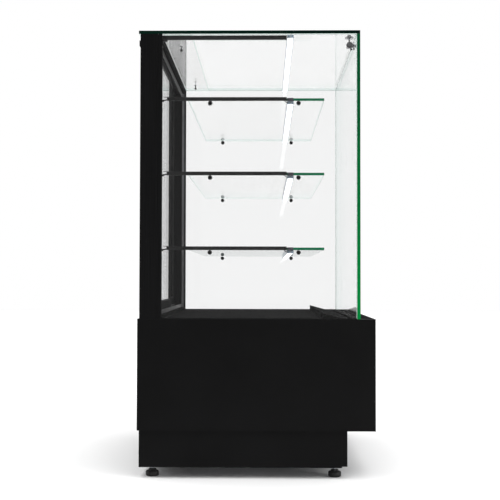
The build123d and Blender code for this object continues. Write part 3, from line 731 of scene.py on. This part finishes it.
# ---------------------------------------------------------------- doors
def make_doors():
    """For each door: double glazing, wedge gaskets, a lined finger pull, a brush seal and frame screws."""
    for door in ("inner", "outer"):
        body = door + "_door"
        low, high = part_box(door + "_door_glass")
        panes = bmesh.new()
        thick = 4 * MM
        for y in (low.y, high.y - thick):
            add_box(panes, (low.x, y, low.z), (high.x, y + thick, high.z), 0)
        finish_mesh(body + "_panes", panes, [CLEAR], body, [door + "_door_glass"])

        frame_low, frame_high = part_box(door + "_door_frame")
        hidden = 7 * MM
        inner_low = (low.x + hidden, low.z + hidden)
        inner_high = (high.x - hidden, high.z - hidden)
        rubber = bmesh.new()
        for y, out in ((low.y, -1), (high.y, 1)):
            lip, tip = y + out * 0.8 * MM, y + out * 2.6 * MM
            for z, way in ((inner_low[1], 1), (inner_high[1], -1)):
                inward, edge = z + way * 4 * MM, z + way * 0.8 * MM
                wedge = [(y, z), (y, inward), (lip, inward), (tip, edge), (tip, z)]
                add_prism(rubber, wedge, 0, inner_low[0], inner_high[0])
            for x, way in ((inner_low[0], 1), (inner_high[0], -1)):
                inward, edge = x + way * 4 * MM, x + way * 0.8 * MM
                wedge = [(x, y), (inward, y), (inward, lip), (edge, tip), (x, tip)]
                add_prism(rubber, wedge, 2, inner_low[1], inner_high[1])
        finish_mesh(body + "_gaskets", rubber, [RUBBER], body)

        side = -1 if door == "inner" else 1
        edge = frame_low.x if side < 0 else frame_high.x
        pull = bmesh.new()
        x_pull = (edge - side * 9 * MM, edge - side * 27 * MM)
        z_pull = (840 * MM, 960 * MM)
        rim = frame_high.y
        add_lined_pull(pull, x_pull, z_pull, rim)
        for z in (frame_low.z + 17 * MM, frame_high.z - 17 * MM):
            for x in (frame_low.x + 20 * MM, frame_high.x - 20 * MM):
                add_screw(pull, (x, rim, z), (0, 1, 0), 3.2 * MM)
        finish_mesh(body + "_pull", pull, [BRUSHED], body)

        brush = bmesh.new()
        meeting = frame_high.x if side < 0 else frame_low.x
        y_face, out = (frame_high.y, 1) if side < 0 else (frame_low.y, -1)
        for k in range(2):
            x = meeting + side * (7 + 5 * k) * MM
            add_box(
                brush, (x - 1.4 * MM, y_face, frame_low.z + 6 * MM),
                (x + 1.4 * MM, y_face + out * 1.5 * MM, frame_high.z - 6 * MM), 0.4 * MM,
            )
        finish_mesh(body + "_brush_seal", brush, [PILE], body)


def add_lined_pull(bm, x, z, rim):
    """A round-cornered lining for the pull's recess: a flange, a wall and a ribbed floor."""
    x_low, x_high = min(x), max(x)
    middle = (x_low + x_high) / 2
    half = (x_high - x_low) / 2
    steps = 10

    def ring(grow, depth):
        radius = 4 * MM + grow
        points = []
        for cx, cz, start in (
            (x_high - 4 * MM, z[1] - 4 * MM, 0), (x_low + 4 * MM, z[1] - 4 * MM, 0.5),
            (x_low + 4 * MM, z[0] + 4 * MM, 1.0), (x_high - 4 * MM, z[0] + 4 * MM, 1.5),
        ):
            for k in range(steps + 1):
                turn = math.pi * (start + 0.5 * k / steps)
                at = (cx + radius * math.cos(turn), rim - depth, cz + radius * math.sin(turn))
                points.append(bm.verts.new(at))
        return points

    rings = [
        ring(2.2 * MM, 0), ring(2.0 * MM, -0.8 * MM), ring(-0.6 * MM, -0.8 * MM),
        ring(-0.9 * MM, 0.4 * MM), ring(-1.1 * MM, 7.4 * MM),
    ]
    stitch(bm, rings)
    bm.faces.new(rings[-1])
    for k in range(5):
        z_rib = z[0] + (0.2 + 0.15 * k) * (z[1] - z[0])
        add_box(
            bm, (middle - half * 0.5, rim - 7.5 * MM, z_rib - 0.8 * MM),
            (middle + half * 0.5, rim - 6.6 * MM, z_rib + 0.8 * MM), 0.3 * MM,
        )


# ---------------------------------------------------------------- base cabinet
def make_louvres():
    """A pressed hood over each slot of the rear panel."""
    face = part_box("rear_panel")[1].y
    bm = bmesh.new()
    width, height = 56 * MM, 6 * MM
    for first, columns in ((-304 * MM, 3), (168 * MM, 4)):
        for column in range(columns):
            for row in range(9):
                add_hood(bm, first + column * 68 * MM, face, 178 * MM + row * 14 * MM, width, height)
    finish_mesh("louvre_hoods", bm, [BLACK], "case")


def add_hood(bm, x, face, z, width, height):
    """A curved scoop, open below, that runs out to nothing at both ends."""
    steps, bands = 12, 4
    rings = []
    for i in range(steps + 1):
        share = i / steps * 2 - 1
        out = 4.6 * MM * (1 - abs(share) ** 4)
        along = x + share * (width / 2 + 1.5 * MM)
        ring = []
        for k in range(bands + 1):
            turn = math.pi / 2 * k / bands
            up = z + height / 2 + 1.2 * MM - (height + 1 * MM) * (1 - math.cos(turn))
            ring.append((along, face + out * math.sin(turn) + 0.02 * MM, up))
        rings.append(ring)
    skin = [[bm.verts.new(point) for point in ring] for ring in rings]
    under = [
        [bm.verts.new((px, max(face + 0.01 * MM, py - 0.8 * MM), pz - 0.3 * MM)) for px, py, pz in ring]
        for ring in rings
    ]
    for grid in (skin, under):
        add_sheet(bm, grid)
    for k in (0, bands):
        for a, b, c, d in zip(skin, skin[1:], under, under[1:]):
            bm.faces.new((a[k], b[k], d[k], c[k]))
    for i in (0, steps):
        for k in range(bands):
            bm.faces.new((skin[i][k], skin[i][k + 1], under[i][k + 1], under[i][k]))


def make_screws():
    """Panel screws on the rear panel, the plinth's rear, the header and the control box."""
    bm = bmesh.new()
    low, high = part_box("rear_panel")
    for x in (low.x + 12 * MM, -150 * MM, 150 * MM, high.x - 12 * MM):
        for z in (low.z + 12 * MM, high.z - 12 * MM):
            add_screw(bm, (x, high.y, z), (0, 1, 0), 3.6 * MM)
    plinth_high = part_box("plinth_panels")[1]
    for x in (-400 * MM, 0, 400 * MM):
        add_screw(bm, (x, plinth_high.y, plinth_high.z - 18 * MM), (0, 1, 0), 3.6 * MM)
    trim_low, trim_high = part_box("header_trim")
    for x in (-430 * MM, -215 * MM, 0, 215 * MM, 430 * MM):
        add_screw(bm, (x, trim_high.y, (trim_low.z + trim_high.z) / 2), (0, 1, 0), 2.6 * MM)
    control_low, control_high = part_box("control_box")
    for x in (control_low.x + 6 * MM, control_high.x - 6 * MM):
        for z in (control_low.z + 6 * MM, control_high.z - 6 * MM):
            add_screw(bm, (x, control_high.y, z), (0, 1, 0), 2 * MM)
    finish_mesh("panel_screws", bm, [BLACK_SCREW], "case")


def make_feet():
    """Adjusters: a ribbed skirt, a hexagon, a threaded stud and a soft pad below."""
    def ribbed(turn):
        return 1 - 0.05 * (0.5 + 0.5 * math.cos(18 * turn))

    def hexagon(turn):
        return 0.866 / math.cos(turn % (math.pi / 3) - math.pi / 6)

    up = (0, 0, 1)
    pitch, turns = 1.5, 36
    for end in ("front", "rear"):
        for side in ("left", "right"):
            node = f"foot_{end}_{side}"
            low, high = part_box(node)
            at = Vector(((low.x + high.x) / 2, (low.y + high.y) / 2, 0))
            bm = bmesh.new()
            skirt = scaled((1.5, 0), (1.5, 18.6), (3, 20), (13, 20), (15.5, 18.2), (17, 15), (17, 0))
            add_turned(bm, at, up, skirt, sides=144, shape=ribbed, shaped=(2, 3))
            nut = scaled((16.5, 0), (16.5, 12), (21.6, 12), (22, 11.2), (22, 0))
            add_turned(bm, at, up, nut, sides=36, shape=hexagon, shaped=(1, 2, 3))
            stud = [(21, 0), (22, 4.6)]
            for k in range(turns):
                z = 22 + k * pitch
                stud += [(z + 0.2, 4.2), (z + pitch * 0.5, 4.95), (z + pitch - 0.2, 4.2)]
            add_turned(bm, at, up, scaled(*stud, (77, 3.6), (77, 0)), sides=24, material=1)
            add_turned(bm, at, up, scaled((0, 0), (0, 16.5), (1.6, 17.6), (1.6, 0)), material=2)
            finish_mesh(f"{node}_adjuster", bm, [FOOT, ZINC, RUBBER], node, [node])


# ---------------------------------------------------------------- controls
SEGMENTS = {"4": "bcfg", "2": "abged"}


def make_controls():
    """A smoked display window with lit digits, and moulded marks on the buttons and rockers."""
    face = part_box("control_box")[1].y
    bm = bmesh.new()
    add_box(
        bm, (-244.6 * MM, face - 1.5 * MM, 416.4 * MM), (-195.4 * MM, face - 0.3 * MM, 439.6 * MM),
        0.3 * MM,
    )
    finish_mesh("display_window", bm, [SMOKED], "case")
    bm = bmesh.new()
    # the panel faces +Y, so a reader sees +X at the left
    for digit, x in (("4", -207 * MM), ("2", -224 * MM)):
        add_digit(bm, digit, x, face - 0.3 * MM, 421 * MM)
    add_box(
        bm, (-217 * MM, face - 0.3 * MM, 421 * MM), (-215.4 * MM, face - 0.24 * MM, 422.6 * MM), 0.02 * MM,
    )
    finish_mesh("display_digits", bm, [DIGITS], "case")
    for name, way in (("button_up", 1), ("button_down", -1), ("button_set", 0)):
        box_low, box_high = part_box(name)
        middle = (box_low + box_high) / 2
        bm = bmesh.new()
        top = box_high.y
        if way:
            outline = [
                (middle.x - 1.8 * MM, middle.z - way * 1.1 * MM),
                (middle.x + 1.8 * MM, middle.z - way * 1.1 * MM), (middle.x, middle.z + way * 1.6 * MM),
            ]
            add_prism(bm, outline, 1, top, top + 0.25 * MM)
        else:
            add_box(
                bm, (middle.x - 1.8 * MM, top, middle.z - 0.5 * MM),
                (middle.x + 1.8 * MM, top + 0.25 * MM, middle.z + 0.5 * MM), 0.1 * MM,
            )
        finish_mesh(name + "_mark", bm, [WHITE_MARK], name)
    for name in ("light_switch", "power_switch"):
        box_low, box_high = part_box(name)
        middle = (box_low + box_high) / 2
        bm = bmesh.new()
        tilt = math.radians(9)
        for dz, kind in ((6.2 * MM, "bar"), (-6.2 * MM, "ring")):
            lift = (3.0 if dz > 0 else 3.05) * MM
            spot = Vector((0, lift + 0.12 * MM, dz))
            spot.rotate(Matrix.Rotation(tilt, 3, "X"))
            at = Vector((middle.x, SWITCH_PIVOT_Y, 419 * MM)) + spot
            if kind == "bar":
                add_box(
                    bm, at - Vector((0.4 * MM, 0.2 * MM, 2 * MM)),
                    at + Vector((0.4 * MM, 0.2 * MM, 2 * MM)), 0.1 * MM,
                )
            else:
                profile = scaled((-0.2, 1.5), (0.2, 1.5), (0.2, 2.1), (-0.2, 2.1), (-0.2, 1.5))
                add_turned(bm, at, (0, 1, 0), profile)
        finish_mesh(name + "_marks", bm, [WHITE_MARK], name)


def add_digit(bm, digit, x, face, z):
    """Seven-segment digit, 15 mm tall and 8 mm wide, seen from +Y."""
    tall, wide, thick = 15 * MM, 8 * MM, 1.5 * MM
    places = {
        "a": (0, tall, True), "g": (0, tall / 2, True), "d": (0, 0, True),
        "f": (0, tall / 2, False), "b": (wide, tall / 2, False), "e": (0, 0, False), "c": (wide, 0, False),
    }
    for key in SEGMENTS[digit]:
        right, up, level = places[key]
        if level:
            corners = ((x - 0.6 * MM, z + up), (x - wide + 0.6 * MM, z + up + thick))
        else:
            corners = (
                (x - right + thick / 2, z + up + 1.9 * MM),
                (x - right - thick / 2, z + up + tall / 2 - 0.4 * MM),
            )
        (x0, z0), (x1, z1) = corners
        add_box(bm, (x0, face, z0), (x1, face + 0.06 * MM, z1), 0.02 * MM)


# ---------------------------------------------------------------- refrigeration
def make_fan(node, body, radius, blades):
    """A moulded fan: a bevelled hub and twisted, swept blades of even thickness."""
    low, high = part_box(node)
    middle = (low + high) / 2
    depth = high.y - low.y
    hub = radius * 0.3
    bore = 4.05 * MM
    bm = bmesh.new()
    profile = [
        (-depth / 2, bore), (-depth / 2, hub - 1.5 * MM), (-depth / 2 + 1.5 * MM, hub),
        (depth / 2 - 2 * MM, hub), (depth / 2, hub - 3 * MM), (depth / 2, bore), (-depth / 2, bore),
    ]
    add_turned(bm, middle, (0, 1, 0), profile, sides=40)
    spans, chords, thick = 7, 8, 1.2 * MM
    for blade in range(blades):
        turn0 = 2 * math.pi * blade / blades
        sides = []
        for face in (0.5, -0.5):
            grid = []
            for i in range(spans + 1):
                share = i / spans
                reach = hub - 0.5 * MM + (radius * 0.985 - hub) * share
                width = 0.62 + 0.36 * math.sin(math.pi * (0.25 + 0.5 * share))
                sweep = 0.28 * share ** 2
                row = []
                for k in range(chords + 1):
                    across = k / chords - 0.5
                    turn = turn0 + sweep + across * width
                    camber = 0.12 * depth * (1 - 4 * across ** 2)
                    y = middle.y - across * depth * (0.82 - 0.22 * share) + camber * 0.5 + face * thick
                    at = (middle.x + reach * math.cos(turn), y, middle.z + reach * math.sin(turn))
                    row.append(bm.verts.new(at))
                grid.append(row)
            sides.append(grid)
        for grid in sides:
            add_sheet(bm, grid)
        rims = [
            grid[0] + [row[-1] for row in grid[1:]] + grid[-1][-2::-1] + [row[0] for row in grid[-2:0:-1]]
            for grid in sides
        ]
        stitch(bm, rims)
    finish_mesh(node + "_wheel", bm, [FAN], body, [node])


def make_compressor():
    """A two-piece welded can on a plate with rubber grommets and bolts, with its terminal cover."""
    low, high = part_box("compressor")
    at = Vector((-230 * MM, 120 * MM, low.z))
    bm = bmesh.new()
    add_box(bm, (low.x, low.y, low.z + 5 * MM), (low.x + 190 * MM, high.y, low.z + 8 * MM), 1.2 * MM, 2)
    base = low.z + 8 * MM
    tall = high.z - base
    seam = tall * 0.56
    lower, upper, shell = 26 * MM, 30 * MM, 71 * MM
    turns = [math.pi / 12 * k for k in range(7)]
    profile = [(0, 0), (0, 46 * MM)]
    profile += [(lower * (1 - math.cos(t)), 46 * MM + lower * math.sin(t)) for t in turns[1:]]
    profile += [
        (seam - 3 * MM, 72 * MM), (seam - 3 * MM, 73.8 * MM), (seam + 1 * MM, 73.8 * MM),
        (seam + 1 * MM, shell),
    ]
    profile += [(tall - upper * (1 - math.sin(t)), shell - upper * (1 - math.cos(t))) for t in turns]
    profile += [(tall, 0)]
    add_turned(bm, (at.x, at.y, base), (0, 0, 1), profile, sides=64)
    add_box(
        bm, (at.x + 60 * MM, at.y - 30 * MM, base + 32 * MM),
        (at.x + 88 * MM, at.y + 30 * MM, base + 92 * MM), 5 * MM, 4, 1,
    )
    for x in (low.x + 16 * MM, low.x + 174 * MM):
        for y in (low.y + 16 * MM, high.y - 16 * MM):
            grommet = scaled((0, 0), (0, 11), (4, 11), (5, 8), (8, 8), (9, 10), (11, 10), (11, 0))
            add_turned(bm, (x, y, low.z), (0, 0, 1), grommet, material=2)
            add_turned(
                bm, (x, y, low.z + 11 * MM), (0, 0, 1), scaled((0, 0), (0, 5), (3, 5), (3, 0)), sides=6,
                material=3,
            )
    finish_mesh("compressor_can", bm, [ENAMEL, PLASTIC, RUBBER, ZINC], "case", ["compressor"])


def make_coil_bends():
    """Copper hairpin bends at the free end of each coil."""
    for node, rows in (("condenser_coil", 5), ("evaporator_coil", 3)):
        low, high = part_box(node)
        x = high.x
        bm = bmesh.new()
        pitch = (high.z - low.z) / (rows * 2)
        for y in (low.y + (high.y - low.y) * 0.3, low.y + (high.y - low.y) * 0.7):
            for k in range(rows):
                z0 = low.z + pitch * (2 * k + 0.5)
                radius = pitch / 2
                arc = [(x - 1 * MM, y, z0)]
                for t in (math.pi * i / 12 for i in range(13)):
                    arc.append((x + 3 * MM + radius * math.sin(t), y, z0 + radius - radius * math.cos(t)))
                arc += [(x - 1 * MM, y, z0 + 2 * radius)]
                add_tube(bm, arc, 3.2 * MM)
        finish_mesh(node + "_bends", bm, [COPPER], "case")


def make_sleeve():
    """Foam sleeve on the suction pipe."""
    bm = bmesh.new()
    at = Vector((-255 * MM, 120 * MM, 0))
    start, end, bore = 300, 324, 4.05
    profile = scaled(
        (start, bore), (start, 8), (start + 1, 9), (end - 1, 9), (end, 8), (end, bore), (start, bore),
    )
    add_turned(bm, at, (0, 0, 1), profile, sides=28)
    finish_mesh("suction_sleeve", bm, [FOAM], "case")


# ---------------------------------------------------------------- studio
make_camera()
make_floor()
make_world(backdrop=1.0, far=1.0, near=0.25)
sky_light(2.2, 0.45, 0.12)
area_light("front_fill", (-2.4, -3.2, 0.9), (-0.45, 0, 0.4), 1.2, 1.8, 55)
area_light("rear_fill", (0.4, 3.6, 2.2), (0, 0, 0.6), 2.4, 2.4, 30)
bpy.context.scene.view_settings.view_transform = "Standard"
bpy.context.scene.cycles.transparent_max_bounces = 24

SWITCH_PIVOT_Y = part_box("rear_panel")[1].y

BLACK = powder_coat("black_powder_coat", (0.0026, 0.0026, 0.0027), (0.0038, 0.0038, 0.0040), specular=0.08)
DECK = powder_coat(
    "deck_powder_coat", (0.007, 0.007, 0.007), (0.011, 0.011, 0.011), 0.0, (0.6, 0.75), 700, 0.03,
)
# The level copy's darker base colour is painted shade on the same extrusion; its marks run along X instead
# of Z.
PROFILE_Z = extrusion(
    "black_profile_upright", (0.0055, 0.0055, 0.0057), (0.008, 0.008, 0.0083), (1, 1, 0.01), 0.0, 0.06,
)
PROFILE_X = extrusion(
    "black_profile_level", (0.004, 0.004, 0.0042), (0.0065, 0.0065, 0.0067), (0.01, 1, 1), 0.0, 0.05,
)
CLEAR = clear_glass("clear_pane", (0.994, 0.995, 0.995), 0.97)
CLEAR_LEVEL = clear_glass("clear_level_pane", (0.994, 0.995, 0.995), 0.86)
# One green glass edge in lit and shaded copies: the dark top edge, the brighter shelf and front edges and
# the paler side and strip edges are painted light and shade.
EDGE_TOP = glass_edge("edge_glass_top", (0.0, 0.004, 0.003), (0.0005, 0.012, 0.007), "Y", -0.3, 0.35)
EDGE_FRONT = glass_edge("edge_glass_front", (0.0, 0.20, 0.035), (0.0, 0.05, 0.016), "Z", 0.48, 1.25)
EDGE_SIDE = glass_edge(
    "edge_glass_side", (0.35, 0.55, 0.45), (0.5, 0.68, 0.6), "Z", 0.48, 1.3, (0.93, 0.96, 0.95),
)
EDGE_SHELF = glass_edge("edge_glass_shelf", (0.0, 0.12, 0.045), (0.0, 0.10, 0.05), "Y", -0.2, 0.2)
EDGE_PALE = glass_edge(
    "edge_glass_pale", (0.45, 0.62, 0.55), (0.6, 0.75, 0.68), "Y", 0.2, 0.3, (0.93, 0.96, 0.95),
)
SILICONE = silicone("clear_silicone")
CHROME = metal("polished_steel", (0.58, 0.58, 0.59), (0.06, 0.16))
CAST = metal("cast_clamp", (0.36, 0.36, 0.37), (0.16, 0.28), scale=120)
BRUSHED = metal("brushed_black_steel", (0.05, 0.05, 0.052), (0.25, 0.4), stretch=(1, 1, 0.02))
SATIN = metal("satin_aluminium", (0.52, 0.57, 0.62), (0.25, 0.4), stretch=(0.02, 1, 1))
ZINC = metal("zinc_plate", (0.52, 0.53, 0.55), (0.3, 0.5), scale=60, tone=0.75)
FINS = metal("fin_stock", (0.66, 0.67, 0.69), (0.3, 0.45), stretch=(1, 1, 0.05), tone=0.8)
COPPER = metal("drawn_copper", (0.72, 0.34, 0.2), (0.18, 0.35), stretch=(1, 1, 0.1), tone=0.7)
PLASTIC = plastic("black_moulding", (0.005, 0.005, 0.005), (0.008, 0.008, 0.008), (0.4, 0.55), specular=0.2)
RUBBER = plastic(
    "black_rubber", (0.0035, 0.0035, 0.0035), (0.006, 0.006, 0.006), (0.6, 0.8), grain=700, specular=0.15,
)
# Pale grey that paints the highlight line along each post's inner face onto the glazing seals.
SEAL_PAINTED_HIGHLIGHT = plastic(
    "seal_painted_highlight", (0.10, 0.10, 0.105), (0.14, 0.14, 0.145), (0.5, 0.65), grain=500, specular=0.3,
)
PILE = plastic(
    "grey_pile", (0.03, 0.03, 0.031), (0.07, 0.07, 0.072), (0.9, 1.0), grain=1800, specular=0.05,
    depth=0.0006,
)
FOOT = plastic("foot_nylon", (0.012, 0.012, 0.012), (0.02, 0.02, 0.02), (0.45, 0.6), specular=0.25)
FAN = plastic("fan_nylon", (0.02, 0.02, 0.021), (0.035, 0.035, 0.036), (0.35, 0.5))
GREY_PIPE = plastic("grey_pipe", (0.36, 0.36, 0.37), (0.44, 0.44, 0.45), (0.35, 0.5))
FOAM = plastic("foam_liner", (0.6, 0.6, 0.58), (0.72, 0.72, 0.70), (0.7, 0.85), grain=260, depth=0.0003)
CONTROL = plastic(
    "control_moulding", (0.010, 0.010, 0.0105), (0.016, 0.016, 0.0165), (0.45, 0.6), grain=1600,
)
BUTTON = plastic("button_moulding", (0.34, 0.34, 0.35), (0.42, 0.42, 0.43), (0.35, 0.5))
ROCKER = plastic("rocker_moulding", (0.008, 0.008, 0.008), (0.012, 0.012, 0.012), (0.18, 0.3), specular=0.5)
WHITE_MARK = plastic("white_mark", (0.62, 0.62, 0.61), (0.72, 0.72, 0.71), (0.4, 0.55))
ENAMEL = plastic(
    "can_enamel", (0.004, 0.004, 0.004), (0.008, 0.008, 0.009), (0.15, 0.35), grain=120, depth=0.0002,
)
BLACK_SCREW = metal("blackened_steel", (0.06, 0.06, 0.062), (0.3, 0.45))
CLIP = plastic("edge_clip", (0.03, 0.028, 0.036), (0.06, 0.056, 0.07), (0.3, 0.45))
CAP = plastic("lamp_cap", (0.16, 0.21, 0.26), (0.24, 0.30, 0.36), (0.25, 0.4))
LIT = light_strip("lit_diffuser", (0.93, 0.97, 1.0), 1.6)
SMOKED = plastic(
    "smoked_window", (0.004, 0.002, 0.002), (0.008, 0.003, 0.003), (0.05, 0.12), grain=200, specular=0.5,
    depth=0.00001,
)
DIGITS = light_strip("lit_digits", (1.0, 0.05, 0.02), 1.0, (0.2, 0.01, 0.005), (1.0, 0.12, 0.05))

make_panes()
make_seals()
make_clamp()
make_pins()
make_lamps()
make_studs()
make_channel_ends()
make_post_trim()
make_doors()
make_louvres()
make_screws()
make_feet()
make_controls()
make_fan("condenser_fan", "condenser_fan", 66 * MM, 5)
make_fan("evaporator_fan", "evaporator_fan", 40 * MM, 5)
make_compressor()
make_coil_bends()
make_sleeve()

LOOK = {
    "black_panel": BLACK, "black_extrusion": PROFILE_Z, "deck_sheet": DECK, "polished_metal": CHROME,
    "black_plastic": PLASTIC, "black_rubber": RUBBER, "lamp_metal": SATIN, "lamp_diffuser": LIT,
    "lamp_cap": CAP, "foam_skin": FOAM, "zinc_steel": ZINC, "black_can": ENAMEL, "coil_fins": FINS,
    "fan_plastic": FAN, "copper": COPPER, "grey_plastic": GREY_PIPE, "control_plastic": CONTROL,
    "button_plastic": BUTTON, "switch_plastic": ROCKER, "foot_plastic": FOOT, "clear_glass": CLEAR,
}
# These profiles take the darker level copy, whose darker colour is painted shade.
LEVEL_PROFILES = ("header", "header_trim", "rear_sill", "front_ledge")
SOFTENED = {
    "black_panel": 0.5, "black_extrusion": 0.5, "deck_sheet": 0.4, "control_plastic": 0.5,
    "button_plastic": 0.3, "switch_plastic": 0.4, "black_plastic": 0.4, "zinc_steel": 0.4,
}


def soften_node(node, radius):
    """Rounds a CAD node's sharp edges with modifiers, which leave its own mesh as it is."""
    weld = node.modifiers.new("weld", "WELD")
    weld.merge_threshold = 0.01 * MM
    bevel = node.modifiers.new("soft_edges", "BEVEL")
    bevel.width = radius
    bevel.segments = 2
    bevel.limit_method = "ANGLE"
    bevel.angle_limit = math.radians(40)
    bevel.harden_normals = True


def dress_nodes():
    """Gives every CAD node that still shows its material and its softened edges."""
    for part in frame["record"]["subparts"]:
        node = NODES[part["node"]]
        if node.hide_render:
            continue
        look = PROFILE_X if part["node"] in LEVEL_PROFILES else LOOK[part["material_slot"]]
        node.data.materials.clear()
        node.data.materials.append(look)
        if part["material_slot"] in SOFTENED:
            soften_node(node, SOFTENED[part["material_slot"]] * MM)


dress_nodes()
